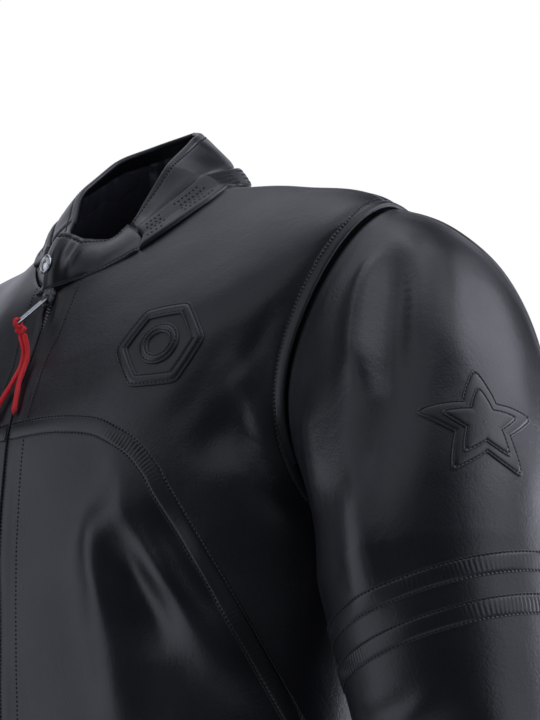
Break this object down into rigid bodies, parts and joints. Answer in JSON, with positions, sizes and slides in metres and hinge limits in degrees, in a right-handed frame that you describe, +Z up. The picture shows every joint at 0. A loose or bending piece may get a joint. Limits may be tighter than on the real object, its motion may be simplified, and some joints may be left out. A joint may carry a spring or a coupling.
{
  "type": "leather jacket",
  "caption": "Zip-front leather jacket, filled out and empty, with a snap-tab stand collar, set-in sleeves, and banded chest and upper arms.",
  "frame": {"origin": "middle of the neck opening, level with the neck ends of the shoulder seams, where the wearer's neck and shoulders hold the jacket", "axes": "+Z up along the body, -Y out of the jacket's front, +X towards the wearer's left arm"},
  "size_m": [0.749, 0.2536, 0.7454],
  "materials": {
    "leather": "smooth semi-gloss black leather with a fine grain",
    "lining leather": "soft matt black leather, gathered at the collar seam",
    "zip tape": "black woven tape",
    "steel": "bright plated steel",
    "red cord": "smooth red leather cord"
  },
  "bodies": {
    "jacket": {"front_left": "leather", "front_right": "leather", "back": "leather", "sleeve_front_left": "leather", "sleeve_front_right": "leather", "sleeve_back_left": "leather", "sleeve_back_right": "leather", "collar_tab": "leather", "collar_front_right": "leather", "collar_strip": "leather", "collar_band": "leather", "collar_facing": "lining leather", "collar_snap": "steel", "chest_band_left": "leather", "chest_band_right": "leather", "arm_band_upper_left": "leather", "arm_band_upper_right": "leather", "arm_band_lower_left": "leather", "arm_band_lower_right": "leather", "armhole_welt_left": "leather", "armhole_welt_right": "leather", "chest_badge_nut": "leather", "chest_badge_washer": "leather", "sleeve_badge_plate": "leather", "sleeve_badge_top": "leather", "zip_tape": "zip tape", "zip_chain": "steel", "zip_slider": "steel"},
    "pull": {"zip_pull": "steel", "pull_knot": "red cord", "pull_cord_left": "red cord", "pull_cord_right": "red cord"}
  },
  "joints": [
    {"name": "pull_swing", "type": "hinge", "parent": "jacket", "child": "pull", "pos_m": [0, -0.08477, -0.08166], "axis": [-1, 0, 0], "range_deg": [0, 100]}
  ]
}
